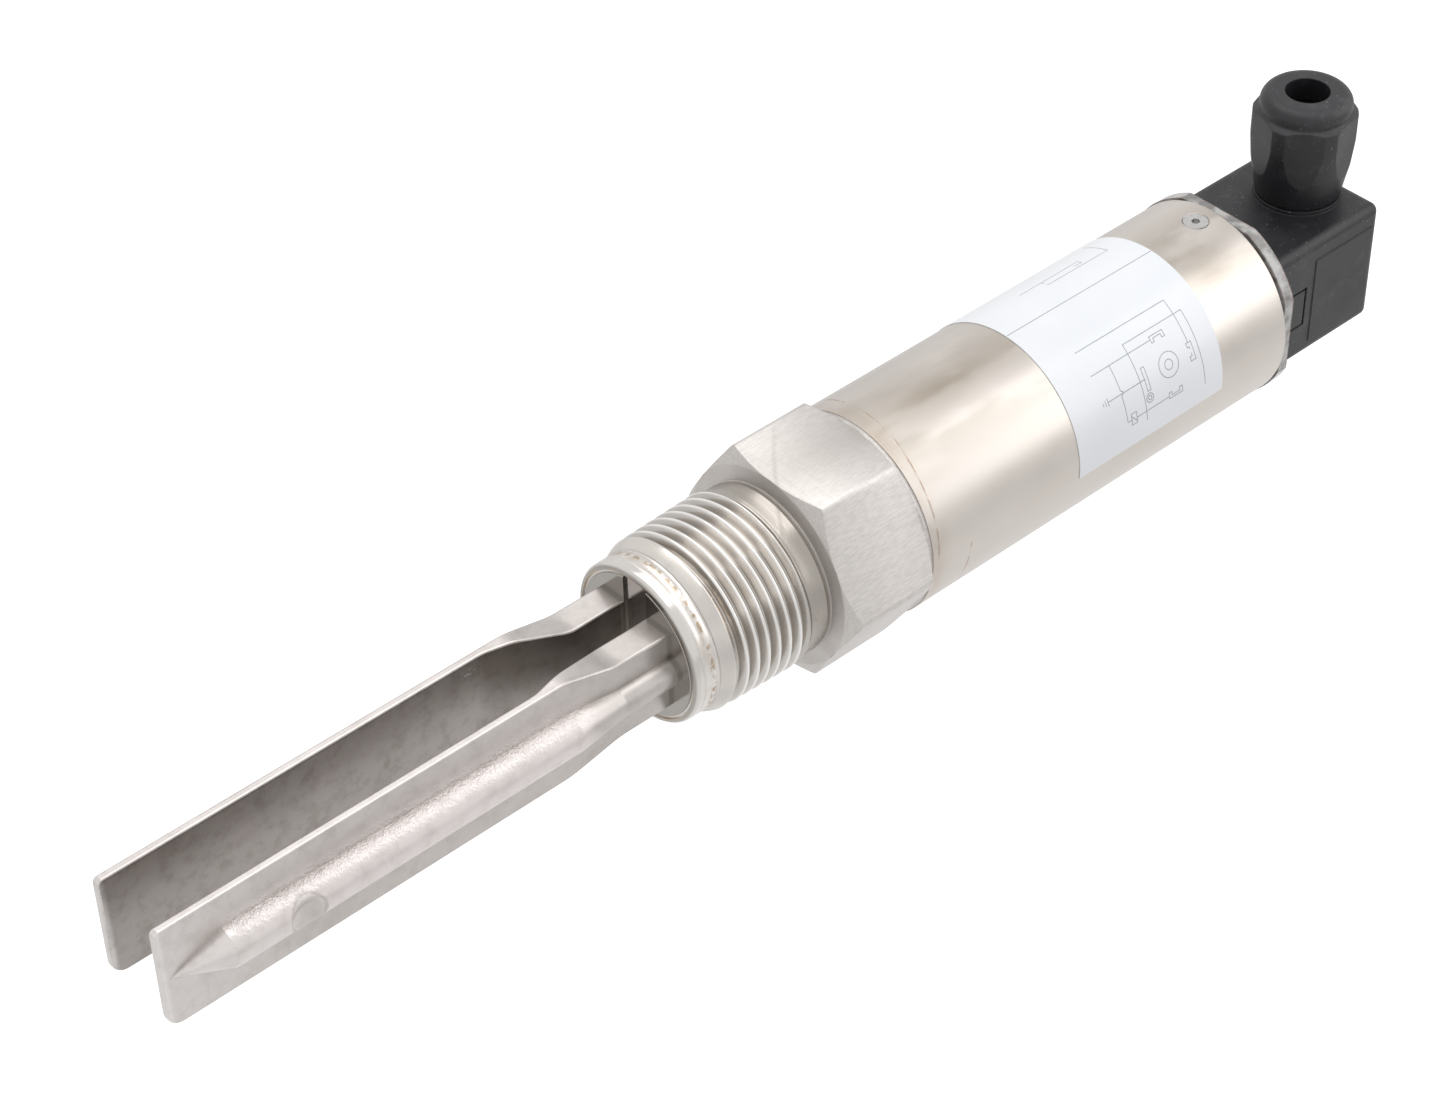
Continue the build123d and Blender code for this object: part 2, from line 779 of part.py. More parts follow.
def plug_insert():
    """Plastic block that carries the sockets inside the plug."""
    start, end = socket_span()
    y_half = plug_half_width - plug_wall - insert_gap
    z_low = plug_bottom_z + plug_wall + insert_gap
    z_high = plug_top_z - plug_wall - insert_gap
    rear = end + terminal_length
    shape = box((plug_start_x, rear), (-y_half, y_half), (z_low, z_high))
    front_y = gasket_window_y - 2 * free_gap
    front_z = gasket_window_z - 2 * free_gap
    nose = box((base_face_x + insert_front_gap, plug_start_x), (-front_y, front_y), (-front_z, front_z))
    shape += nose & box((0, plug_end_x), (-y_half, y_half), (z_low, z_high))
    shape -= rod_x(centre_hole_radius, base_face_x, rear)
    outer = blade_thickness / 2 + socket_clear + socket_wall
    z_outer = blade_width / 2 + socket_clear + socket_wall
    mouth_y = (contact_pitch_radius - blade_thickness / 2 - socket_clear,
               contact_pitch_radius + blade_thickness / 2 + socket_clear)
    mouth_z = blade_width / 2 + socket_clear
    pocket = box((start, end), (contact_pitch_radius - outer, contact_pitch_radius + outer),
                 (-z_outer, z_outer))
    pocket += box((base_face_x, start), mouth_y, (-mouth_z, mouth_z))
    pocket += box((end, rear), (terminal_low, terminal_high), (-terminal_width / 2, terminal_width / 2))
    for number in range(4):
        shape -= at_contact(pocket, number)
    return shape


def terminal_screw():
    """Slotted terminal screw, on the +Y side."""
    face = socket_span()[1] + terminal_length
    start = face - terminal_screw_length + free_gap
    head_start = face + running_gap
    head_end = head_start + terminal_screw_head_length
    shape = rod_x(terminal_screw_radius, start, head_end, terminal_screw_centre)
    shape += rod_x(terminal_screw_head_radius, head_start, head_end, terminal_screw_centre)
    slot = box((head_end - screw_slot_depth, head_end),
               (terminal_screw_centre - screw_slot_width / 2, terminal_screw_centre + screw_slot_width / 2),
               (-terminal_width, terminal_width))
    return shape - slot


def centre_screw():
    """Long slotted screw that holds the plug on its base."""
    head_start = plug_end_x - centre_screw_head_length
    tip = base_face_x - centre_screw_engagement
    shape = rod_x(centre_screw_radius, tip, head_start + 1)
    shape += rod_x(centre_screw_head_radius, head_start + running_gap, plug_end_x)
    slot = box((plug_end_x - screw_slot_depth, plug_end_x),
               (-screw_slot_width / 2, screw_slot_width / 2), (-washer_radius, washer_radius))
    return shape - slot


def centre_washer():
    """Rubber washer under the centre screw's head."""
    start = centre_recess_x()
    return pipe_x(washer_radius, centre_hole_radius, start, start + washer_thickness)


def gland_seal():
    """Rubber seal that grips the cable."""
    outer = gland_bore_radius - slip_gap
    mouth = seal_mouth_radius - seal_bore_radius
    return turned_gland([
        (seal_bore_radius, gland_seat_z, 0), (outer, gland_seat_z, 0), (outer, seal_top, 0),
        (seal_mouth_radius, seal_top, 0), (seal_bore_radius, seal_top - mouth, 0),
    ])


def thrust_washer():
    """Slip washer between the seal and the nut."""
    top = seal_top + thrust_washer_height
    return turned_gland([
        (thrust_washer_bore, seal_top, 0), (thrust_washer_radius, seal_top, 0),
        (thrust_washer_radius, top, 0), (thrust_washer_bore, top, 0),
    ])


def gland_nut():
    """Domed six-sided nut of the cable gland."""
    blank = turned_gland([
        (0, nut_bottom_z, 0),
        (nut_foot_radius, nut_bottom_z, nut_edge_radius),
        (nut_waist_radius, nut_waist_z, nut_side_radius),
        (nut_full_radius, nut_full_z, nut_side_radius),
        (nut_full_radius, nut_flat_top_z, nut_edge_radius),
        (nut_dome_radius, nut_dome_base_z, nut_edge_radius),
        (nut_dome_radius, nut_top_z, nut_dome_rounding),
        (0, nut_top_z, 0),
    ])
    hexagon = RegularPolygon(nut_across_flats / 2, 6, major_radius=False, rotation=nut_turn)
    prism = Pos(gland_x, 0, nut_bottom_z) * extrude(hexagon, nut_top_z - nut_bottom_z)
    ceiling = seal_top + thrust_washer_height + free_gap
    shape = blank & prism
    shape -= rod_z(gland_spigot_radius + running_gap, nut_bottom_z, ceiling, gland_x)
    return shape - rod_z(nut_hole_radius, ceiling, nut_top_z, gland_x)


os.makedirs("parts", exist_ok=True)
save("fork", fork())
save("process_connection", process_connection())
save("housing_tube", housing_tube())
save("label", label())
for name, shape in drive_pieces().items():
    save(name, shape)
for name, shape in drive_wires().items():
    save(name, shape)
save("heat_barrier", heat_barrier())
save("electronics_cup", electronics_cup())
for name, shape in boards().items():
    save(name, shape)
for name, shape in board_parts().items():
    save(name, shape)
save("connector_base", connector_base())
save("threaded_bush", threaded_bush())
save("seal_ring", seal_ring())
save("tube_screw", tube_screw())
for number, name in enumerate(("contact_blade_1", "contact_blade_2", "contact_blade_3", "earth_blade")):
    save(name, at_contact(contact_blade(), number))
for name, shape in contact_wires().items():
    save(name, shape)
save("profile_gasket", profile_gasket())
save("plug_housing", plug_housing())
save("plug_insert", plug_insert())
for number, name in enumerate(("socket_1", "socket_2", "socket_3", "earth_socket")):
    save(name, at_contact(socket_contact(), number))
for number in range(4):
    save(f"terminal_screw_{number + 1}", at_contact(terminal_screw(), number))
save("centre_screw", centre_screw())
save("centre_washer", centre_washer())
save("gland_seal", gland_seal())
save("thrust_washer", thrust_washer())
save("gland_nut", gland_nut())
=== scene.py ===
import json
from math import cos, degrees, hypot, pi, radians, sin, sqrt, tan

import bpy
from mathutils import Matrix, Vector, noise


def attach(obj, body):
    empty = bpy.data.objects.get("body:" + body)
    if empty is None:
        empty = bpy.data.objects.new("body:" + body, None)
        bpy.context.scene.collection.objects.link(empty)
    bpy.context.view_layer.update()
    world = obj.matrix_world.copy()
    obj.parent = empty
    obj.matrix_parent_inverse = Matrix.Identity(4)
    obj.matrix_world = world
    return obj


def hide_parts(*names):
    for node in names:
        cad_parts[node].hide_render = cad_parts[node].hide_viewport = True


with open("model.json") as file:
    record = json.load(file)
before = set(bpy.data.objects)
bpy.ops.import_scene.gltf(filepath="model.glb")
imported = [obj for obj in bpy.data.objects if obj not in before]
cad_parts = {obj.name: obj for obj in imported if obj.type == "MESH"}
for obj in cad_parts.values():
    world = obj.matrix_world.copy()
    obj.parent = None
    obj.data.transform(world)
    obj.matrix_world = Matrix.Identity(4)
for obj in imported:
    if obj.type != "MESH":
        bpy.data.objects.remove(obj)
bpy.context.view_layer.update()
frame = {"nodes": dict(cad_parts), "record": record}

# A fork level switch. Metres, in the model's own frame: the tube's axis is X, the hexagon's
# front face is at x = 0, the fork points to -X and the cable gland points up.
MM = 0.001

# The photograph's camera
CAMERA_PLACE = Vector((-297.706, -327.390, 384.901)) * MM
CAMERA_AHEAD = Vector((0.49961, 0.56960, -0.65264))
CAMERA_RIGHT = Vector((0.74174, -0.67046, -0.01734))
CAMERA_LENS = 86.72
SENSOR_WIDTH = 36.0

# Sizes that the model's source also gives, in millimetres
NOSE_RADIUS = 15.0
NOSE_WELD_X = -27.6
SEAM_RADIUS = 13.65
SHOULDER_X = -24.2
SHOULDER_RADIUS = 16.2
SHOULDER_LENGTH = 2.2
THREAD_START_X = -21.7
THREAD_PITCH = 2.309
THREAD_GAUGE_RADIUS = 16.62
THREAD_GAUGE_LENGTH = 10.4
THREAD_TAPER = 1 / 32
THREAD_DEPTH = 1.479
RELIEF_RADIUS = 16.1
GROOVE_RADIUS = 15.8
GROOVE_WIDTH = 1.0
HEX_HALF_FLATS = 19.0
HEX_TURN = 2.7
HEX_LENGTH = 19.5
NECK_RADIUS = 19.2
NECK_LENGTH = 20.2
SPIGOT_RADIUS = 17.95
SPIGOT_END_X = 24.7
BORE_RADIUS = 11.5
TUBE_START_X = 20.2
LABEL_RADIUS = 19.63
GASKET_START_X = 110.6
GASKET_END_X = 113.0
BLADE_TIP_X = -130.2
RIB_Y = 8.2
DISH_X = -105.5
DISH_RADIUS = 3.6

# The tapered thread's crests would have this radius at x = 0
THREAD_CREST_AT_ZERO = THREAD_GAUGE_RADIUS - (THREAD_START_X + THREAD_GAUGE_LENGTH) * THREAD_TAPER

# Where the surface changes: millimetres along the part or off its middle, or degrees about it
CAST_END_X = -30.2
NOSE_FACE_X = -29.25
STEM_X = -40.0
BLADE_START_X = -54.0
INNER_FACE_Y = 7.0
OUTER_FACE_Y = 7.5
RIB_FLANK_Z = 4.2
SCUFF_X = -58.6
SCUFF_Z = 8.2
WELD_MARKS_X = -25.6
WASHOUT_X = -6.2
WASHOUT_LENGTH = 1.8
SCAR_X = -5.9
SCAR_ANGLE = 150.0
ROOT_STAIN_ANGLE = 143.0
TINTED_LINE_X = 22.6
TINTED_LINE_ANGLE = 128.0
# Painted shade on top of the tube: its streaks, and its patches by the neck and by the plug
SHADE_STREAKS_ANGLE = 104.0
NECK_SHADE_X = 38.0
NECK_SHADE_ANGLE = 98.0
PLUG_SHADE_X = 99.0
PLUG_SHADE_ANGLE = 117.0


class Graph:
    """Short ways to build one material's nodes, in millimetres but where a method says metres."""

    def __init__(self, name):
        self.material = bpy.data.materials.new(name)
        self.material.use_nodes = True
        self.tree = self.material.node_tree
        self.tree.nodes.clear()
        coordinates = self.node("ShaderNodeTexCoord")
        self.place, self.normal = coordinates.outputs["Object"], coordinates.outputs["Normal"]

    def node(self, kind, inputs=None, **settings):
        """One node, with its settings and its inputs: a socket is linked, a number is set."""
        made = self.tree.nodes.new(kind)
        for key, value in settings.items():
            setattr(made, key, value)
        for key, value in (inputs or {}).items():
            if isinstance(value, bpy.types.NodeSocket):
                self.tree.links.new(value, made.inputs[key])
            else:
                made.inputs[key].default_value = value
        return made

    def math(self, operation, first, second=0.0):
        return self.node("ShaderNodeMath", {0: first, 1: second}, operation=operation).outputs[0]

    def stretched(self, scale):
        """The place, stretched by a factor on each axis."""
        return self.node("ShaderNodeMapping", {"Vector": self.place, "Scale": scale}).outputs[0]

    def noise(self, size, detail=2.0, stretch=(1, 1, 1), rough=0.5):
        """Soft noise from 0 to 1 with features of a size in millimetres."""
        return self.node("ShaderNodeTexNoise", {
            "Vector": self.stretched(stretch), "Scale": 1 / (size * MM),
            "Detail": detail, "Roughness": rough}).outputs["Fac"]

    def axis(self, name):
        """One coordinate of the place, in millimetres."""
        split = self.node("ShaderNodeSeparateXYZ", {0: self.place}).outputs[name]
        return self.math("DIVIDE", split, MM)

    def facing(self, name):
        """How far the surface faces along one axis, either way: 0 to 1."""
        split = self.node("ShaderNodeSeparateXYZ", {0: self.normal}).outputs[name]
        return self.math("ABSOLUTE", split)

    def radius(self):
        """Distance from the tube's axis, in millimetres."""
        y, z = self.axis("Y"), self.axis("Z")
        squares = self.math("ADD", self.math("MULTIPLY", y, y), self.math("MULTIPLY", z, z))
        return self.math("SQRT", squares)

    def angle(self):
        """Angle about the tube's axis in degrees: 90 on top, 180 on the side with the near tine."""
        turn = self.math("ARCTAN2", self.axis("Z"), self.axis("Y"))
        return self.math("DIVIDE", turn, pi / 180)

    def span(self, value, low, high, to_low=0.0, to_high=1.0):
        """A value carried from one range to another, smoothly, and held at the ends."""
        return self.node("ShaderNodeMapRange", {
            "Value": value, "From Min": low, "From Max": high, "To Min": to_low, "To Max": to_high,
        }, interpolation_type="SMOOTHSTEP").outputs[0]

    def bump_at(self, value, centre, width):
        """A soft hill, 1 at the centre and 0 a width away."""
        away = self.math("ABSOLUTE", self.math("SUBTRACT", value, centre))
        return self.span(away, 0.0, width, 1.0, 0.0)

    def both(self, first, second, strength=1.0):
        """Product of two masks, times a strength."""
        return self.math("MULTIPLY", self.math("MULTIPLY", first, second), strength)

    def mix(self, amount, first, second):
        """Two colours or numbers mixed."""
        made = self.node("ShaderNodeMix", {0: amount}, data_type="RGBA")
        for index, value in ((6, first), (7, second)):
            if isinstance(value, bpy.types.NodeSocket):
                self.tree.links.new(value, made.inputs[index])
            else:
                made.inputs[index].default_value = (*value, 1.0)
        return made.outputs[2]

    def relief(self, height, depth, under=None):
        """Bump of a depth in millimetres from a height of 0 to 1."""
        inputs = {"Height": height, "Distance": depth * MM, "Strength": 1.0}
        if under is not None:
            inputs["Normal"] = under
        return self.node("ShaderNodeBump", inputs).outputs[0]

    def edges(self, radius):
        """Normal with the sharp edges rounded by a radius in metres."""
        return self.node("ShaderNodeBevel", {"Radius": radius}, samples=4).outputs[0]

    def finish(self, **sockets):
        """The shader itself, with its inputs by name, and the material's output."""
        inputs = {key.replace("_", " "): value for key, value in sockets.items()}
        shader = self.node("ShaderNodeBsdfPrincipled", inputs)
        self.node("ShaderNodeOutputMaterial", {"Surface": shader.outputs[0]})
        return self.material


def cast_steel():
    """Satin cast steel: grain, slow waves and scratches, and a polished nose with a tinted seam."""
    g = Graph("cast_steel")
    x, up = g.axis("X"), g.axis("Z")
    off_centre = g.math("ABSOLUTE", g.axis("Y"))
    cast = g.span(x, CAST_END_X, CAST_END_X + 0.7, 1.0, 0.0)
    cloud = g.noise(9.0, 3.0)
    grain = g.noise(0.35, 4.0, rough=0.65)
    scratch = g.noise(0.5, 2.0, stretch=(0.08, 1, 1))
    tone = g.mix(g.span(cloud, 0.3, 0.7), (0.50, 0.46, 0.44), (0.56, 0.52, 0.50))
    tone = g.mix(g.span(grain, 0.35, 0.75, 0.0, 0.25), tone, (0.62, 0.60, 0.58))

    # Painted shade: darker faces between the tines, and darker stems
    shaded_inside = g.both(g.span(off_centre, INNER_FACE_Y, INNER_FACE_Y - 0.6),
                    g.span(g.facing("Y"), 0.4, 0.8))
    shaded_inside = g.math("MULTIPLY", shaded_inside, g.span(x, -34.0, -62.0, 1.0, 0.75))
    tone = g.mix(g.both(shaded_inside, cast), tone, (0.30, 0.27, 0.25))
    tone = g.mix(g.both(g.bump_at(x, STEM_X, 14.0), cast, 0.3), tone, (0.38, 0.36, 0.335))

    # Paler ribs, outer faces and tips, and blotches all over
    rib = g.math("MULTIPLY", g.span(off_centre, RIB_Y, RIB_Y + 1.2), cast)
    on_blade = g.span(x, STEM_X - 4.0, BLADE_START_X)
    tone = g.mix(g.both(rib, on_blade, 0.7), tone, (0.78, 0.72, 0.705))
    outer_face = g.span(off_centre, OUTER_FACE_Y, OUTER_FACE_Y + 0.5)
    tone = g.mix(g.both(outer_face, g.span(x, -98.0, -128.0), 0.55), tone, (0.74, 0.705, 0.685))
    tip = g.span(x, BLADE_TIP_X + 1.4, BLADE_TIP_X + 0.4, 0.0, 0.6)
    tone = g.mix(tip, tone, (0.80, 0.775, 0.755))
    mottle = g.noise(3.0, 6.0, rough=0.7)
    blotch = g.both(g.span(mottle, 0.42, 0.72), g.span(shaded_inside, 0.0, 1.0, 0.2, 0.6))
    tone = g.mix(g.math("MULTIPLY", blotch, cast), tone, (0.21, 0.187, 0.165))

    # Rough flank of the rib
    flank = g.both(g.bump_at(up, RIB_FLANK_Z, 2.3), g.span(off_centre, RIB_Y - 0.6, RIB_Y - 0.2))
    flank = g.both(flank, g.span(x, -120.0, -116.0), g.span(x, STEM_X - 2.0, BLADE_START_X))
    tone = g.mix(g.math("MULTIPLY", flank, 0.35), tone, (0.88, 0.83, 0.81))

    # Painted shade on the rim and in the hollow of the dish in the rib
    across = g.math("SUBTRACT", x, DISH_X)
    squares = g.math("ADD", g.math("MULTIPLY", across, across), g.math("MULTIPLY", up, up))
    from_dish = g.math("SQRT", squares)
    dish_rim_shade = g.both(g.bump_at(from_dish, DISH_RADIUS - 0.35, 0.45), rib, 0.5)
    dish_hollow_shade = g.both(g.span(from_dish, DISH_RADIUS - 0.3, DISH_RADIUS - 1.0), rib, 0.28)
    tone = g.mix(g.math("MAXIMUM", dish_rim_shade, dish_hollow_shade), tone, (0.36, 0.34, 0.32))

    # Nose, scuffs between the tines and tinted seam
    tone = g.mix(g.span(x, CAST_END_X, CAST_END_X + 0.7), tone, (0.37, 0.35, 0.325))
    tone = g.mix(g.span(x, NOSE_FACE_X, NOSE_FACE_X + 0.35), tone, (0.64, 0.615, 0.59))
    scuffed = g.both(g.bump_at(x, SCUFF_X, 2.6), g.bump_at(up, SCUFF_Z, 1.5))
    nicks = g.span(g.noise(0.5, 2.0, stretch=(0.35, 1, 1)), 0.53, 0.6)
    tone = g.mix(g.both(scuffed, nicks, shaded_inside), tone, (0.85, 0.83, 0.81))
    near_seam = g.bump_at(g.radius(), SEAM_RADIUS + 0.25, 0.55)
    seam = g.both(near_seam, g.span(x, CAST_END_X - 0.2, CAST_END_X + 0.4), 0.6)
    tone = g.mix(g.both(seam, g.span(g.noise(3.0, 2.0), 0.35, 0.6)), tone, (0.46, 0.36, 0.26))

    rough = g.span(cloud, 0.25, 0.75, 0.29, 0.37)
    rough = g.math("MULTIPLY", rough, g.span(x, CAST_END_X, CAST_END_X + 0.7, 1.0, 0.5))
    normal = g.relief(g.math("MULTIPLY", cloud, cast), 0.05)
    normal = g.relief(g.math("MULTIPLY", grain, cast), 0.006, normal)
    normal = g.relief(scratch, 0.003, normal)
    normal = g.relief(g.both(flank, g.noise(0.6, 3.0, rough=0.7)), 0.4, normal)
    return g.finish(Base_Color=tone, Metallic=1.0, Roughness=rough, Normal=normal)


def turned_steel():
    """Bright turned steel: fine rings, brown weld marks and the rough end of the thread."""
    g = Graph("turned_steel")
    x, angle = g.axis("X"), g.angle()
    cloud = g.noise(6.0, 3.0)
    rings = g.noise(0.22, 2.0, stretch=(1, 0.03, 0.03))
    milled = g.noise(0.25, 2.0, stretch=(1, 0.06, 0.06))
    tone = g.mix(g.span(cloud, 0.3, 0.7), (0.57, 0.54, 0.51), (0.63, 0.605, 0.575))

    # Thread with painted shade in its roots and a painted highlight on its crests, and painted
    # shade in the undercut behind it
    crest = g.math("ADD", g.math("MULTIPLY", x, THREAD_TAPER), THREAD_CREST_AT_ZERO)
    sunk = g.math("SUBTRACT", crest, g.radius())
    thread_end = WASHOUT_X + WASHOUT_LENGTH
    thread = g.both(g.span(x, THREAD_START_X - 0.1, THREAD_START_X + 0.1),
                    g.span(x, thread_end, thread_end - 1.0))
    tone = g.mix(g.both(g.span(sunk, 0.1, 1.3), thread, 0.5), tone, (0.36, 0.33, 0.295))
    tone = g.mix(g.both(g.span(sunk, 0.3, 0.03), thread, 0.8), tone, (0.86, 0.84, 0.82))
    shaded_undercut = g.both(g.span(x, -6.5, -4.5), g.span(x, 0.05, -0.05), 0.8)
    tone = g.mix(shaded_undercut, tone, (0.34, 0.31, 0.275))

    # Brushed hexagon, with painted shade on its top face
    hexagon = g.span(x, -0.6, 0.0)
    brushed = g.noise(0.3, 3.0, stretch=(0.15, 1, 1), rough=0.6)
    face = g.mix(g.span(brushed, 0.35, 0.65), (0.55, 0.52, 0.50), (0.64, 0.61, 0.585))
    tone = g.mix(g.math("MULTIPLY", hexagon, 0.85), tone, face)
    top_face_shade = g.both(g.bump_at(angle, HEX_TURN + 90.0, 34.0), hexagon, 0.6)
    tone = g.mix(top_face_shade, tone, (0.42, 0.395, 0.37))

    # Bright nose and the collar behind it, with brown weld marks and a stained thread root
    nose = g.span(x, SHOULDER_X + 0.2, SHOULDER_X - 0.4, 0.0, 0.3)
    tone = g.mix(nose, tone, (0.84, 0.805, 0.775))
    collar = g.both(g.bump_at(x, SHOULDER_X + 1.2, 1.6), g.span(cloud, 0.2, 0.7), 0.4)
    tone = g.mix(collar, tone, (0.66, 0.60, 0.53))
    marks = g.both(g.bump_at(x, WELD_MARKS_X, 0.8), g.span(g.noise(1.1, 4.0), 0.47, 0.56), 0.85)
    haze_noise = g.span(g.noise(4.0, 3.0), 0.4, 0.65)
    haze = g.both(g.bump_at(x, WELD_MARKS_X - 0.4, 2.4), haze_noise, 0.3)
    root = g.both(g.bump_at(x, THREAD_START_X + 0.45, 0.55),
                  g.bump_at(angle, ROOT_STAIN_ANGLE, 38.0), 0.6)
    tone = g.mix(g.math("MAXIMUM", g.math("MAXIMUM", marks, haze), root), tone, (0.36, 0.26, 0.16))

    # Curved scar where the thread ends
    bend = g.math("POWER", g.math("SUBTRACT", angle, SCAR_ANGLE), 2.0)
    scar_line = g.math("ADD", g.math("MULTIPLY", bend, 0.0022), SCAR_X)
    band = g.bump_at(g.math("SUBTRACT", x, scar_line), 0.0, 0.8)

    rough = g.span(milled, 0.3, 0.7, 0.16, 0.25)
    satin = g.math("ADD", g.math("ADD", shaded_undercut, band), g.span(x, -21.5, -23.0))
    satin = g.math("ADD", satin, g.math("MULTIPLY", hexagon, 2.8))
    rough = g.math("ADD", rough, g.math("MULTIPLY", satin, 0.1))
    normal = g.relief(rings, 0.002, g.edges(g.math("MULTIPLY", hexagon, 0.3 * MM)))
    normal = g.relief(g.math("MULTIPLY", cloud, g.span(x, 0.0, -0.6)), 0.012, normal)
    normal = g.relief(g.both(band, g.noise(0.5, 3.0)), 0.05, normal)
    return g.finish(Base_Color=tone, Metallic=1.0, Roughness=rough, Normal=normal)


def tube_steel():
    """Champagne steel, blasted, with painted shade in soft dark streaks on top and a tinted line by
    the weld.
    """
    g = Graph("tube_steel")
    x, angle = g.axis("X"), g.angle()
    cloud = g.noise(14.0, 3.0, stretch=(0.6, 1, 1))
    grain = g.noise(0.28, 3.0, rough=0.6)
    tone = g.mix(g.span(cloud, 0.3, 0.7), (0.555, 0.515, 0.475), (0.61, 0.57, 0.53))
    # Painted shade: darker on top in soft streaks, and darkest by the neck and by the plug
    shade_noise = g.span(g.noise(7.0, 3.0, stretch=(0.3, 1, 1)), 0.36, 0.6)
    by_neck = g.both(g.bump_at(angle, NECK_SHADE_ANGLE, 19.0), g.bump_at(x, NECK_SHADE_X, 30.0))
    by_plug = g.both(g.bump_at(angle, PLUG_SHADE_ANGLE, 17.0), g.bump_at(x, PLUG_SHADE_X, 12.0))
    shade_patches = g.both(g.math("MAXIMUM", by_neck, by_plug), g.span(shade_noise, 0.0, 1.0, 0.6, 1.0), 0.85)
    painted_streaks = g.math("MAXIMUM", shade_patches, g.both(shade_noise, g.bump_at(angle, SHADE_STREAKS_ANGLE, 42.0), 0.55))
    tone = g.mix(painted_streaks, tone, (0.31, 0.265, 0.215))
    heat = g.both(g.bump_at(x, TUBE_START_X, 6.0), g.span(g.noise(6.0, 3.0), 0.35, 0.7), 0.35)
    tone = g.mix(heat, tone, (0.42, 0.33, 0.25))
    turned = g.math("SUBTRACT", angle, TINTED_LINE_ANGLE)
    slope = g.math("ADD", x, g.math("MULTIPLY", turned, 0.0219))
    line = g.both(g.bump_at(slope, TINTED_LINE_X, 0.3), g.span(g.noise(2.5, 3.0), 0.38, 0.6), 0.8)
    tone = g.mix(line, tone, (0.34, 0.24, 0.17))
    rough = g.span(cloud, 0.25, 0.75, 0.31, 0.39)
    normal = g.relief(grain, 0.003, g.edges(0.25 * MM))
    normal = g.relief(line, 0.03, normal)
    return g.finish(Base_Color=tone, Metallic=1.0, Roughness=rough, Normal=normal)


def screw_steel():
    """Bright steel of the screws, slightly uneven."""
    g = Graph("screw_steel")
    cloud = g.noise(1.5, 2.0)
    tone = g.mix(cloud, (0.46, 0.455, 0.45), (0.58, 0.575, 0.57))
    rough = g.span(cloud, 0.3, 0.7, 0.2, 0.32)
    return g.finish(Base_Color=tone, Metallic=1.0, Roughness=rough, Normal=g.relief(cloud, 0.01))


def label_foil():
    """Glossy bluish white foil that follows the tube's faint unevenness."""
    g = Graph("label_foil")
    cloud = g.noise(18.0, 2.0)
    tone = g.mix(g.span(cloud, 0.3, 0.7), (0.83, 0.85, 0.885), (0.86, 0.875, 0.905))
    rough = g.span(cloud, 0.3, 0.7, 0.28, 0.32)
    return g.finish(Base_Color=tone, Roughness=rough, Normal=g.relief(cloud, 0.004),
                    Coat_Weight=0.3, Coat_Roughness=0.2)


def label_print():
    """Pale grey print."""
    g = Graph("label_print")
    fade = g.noise(1.2, 3.0)
    tone = g.mix(fade, (0.24, 0.25, 0.27), (0.40, 0.41, 0.44))
    return g.finish(Base_Color=tone, Roughness=g.span(fade, 0.3, 0.7, 0.3, 0.4))


def moulded_plastic(name, dark, light, roughness):
    """Moulded plastic, rubber or ceramic with a fine surface grain."""
    g = Graph(name)
    cloud = g.noise(8.0, 3.0)
    grain = g.noise(0.3, 3.0)
    tone = g.mix(g.span(cloud, 0.3, 0.7), dark, light)
    rough = g.span(cloud, 0.25, 0.75, roughness - 0.05, roughness + 0.05)
    return g.finish(Base_Color=tone, Roughness=rough, Normal=g.relief(grain, 0.012))


def black_plastic():
    """Black moulded plastic of the plug, finely grained, with a little dust."""
    g = Graph("black_plastic")
    cloud = g.noise(11.0, 3.0)
    grain = g.noise(0.22, 3.0, rough=0.6)
    tone = g.mix(g.span(cloud, 0.3, 0.7), (0.008, 0.008, 0.010), (0.013, 0.013, 0.0155))
    dust = g.span(g.noise(0.45, 1.0), 0.735, 0.77)
    film = g.math("MULTIPLY", g.span(g.noise(5.0, 4.0, rough=0.7), 0.5, 0.8), 0.10)
    tone = g.mix(g.math("MAXIMUM", g.math("MULTIPLY", dust, 0.5), film), tone, (0.30, 0.30, 0.31))
    rough = g.span(cloud, 0.25, 0.75, 0.40, 0.52)
    normal = g.relief(grain, 0.010, g.edges(0.35 * MM))
    return g.finish(Base_Color=tone, Roughness=rough, Normal=normal)


def grey_gasket():
    """Glossy grey seal that lets a little light in."""
    g = Graph("grey_gasket")
    cloud = g.noise(3.0, 3.0)
    tone = g.mix(g.span(cloud, 0.38, 0.62), (0.20, 0.19, 0.182), (0.46, 0.45, 0.442))
    middle = (GASKET_START_X + GASKET_END_X) / 2
    from_middle = g.math("ABSOLUTE", g.math("SUBTRACT", g.axis("X"), middle))
    lip = g.both(g.span(from_middle, 0.85, 1.15), g.span(g.noise(2.0, 3.0), 0.3, 0.5), 0.8)
    lip = g.math("MULTIPLY", lip, g.span(g.facing("X"), 0.7, 0.3))
    tone = g.mix(lip, tone, (0.14, 0.095, 0.07))
    rough = g.span(cloud, 0.3, 0.7, 0.16, 0.3)
    normal = g.relief(g.noise(1.6, 3.0), 0.10, g.edges(0.3 * MM))
    return g.finish(Base_Color=tone, Roughness=rough, Normal=normal, Subsurface_Weight=0.2,
                    Subsurface_Scale=0.002, Coat_Weight=0.5, Coat_Roughness=0.1)


def bare_metal(name, dark, light):
    """Bright sheet or turned metal inside."""
    g = Graph(name)
    cloud = g.noise(2.0, 3.0)
    tone = g.mix(g.span(cloud, 0.3, 0.7), dark, light)
    rough = g.span(cloud, 0.3, 0.7, 0.22, 0.36)
    return g.finish(Base_Color=tone, Metallic=1.0, Roughness=rough, Normal=g.relief(cloud, 0.01))


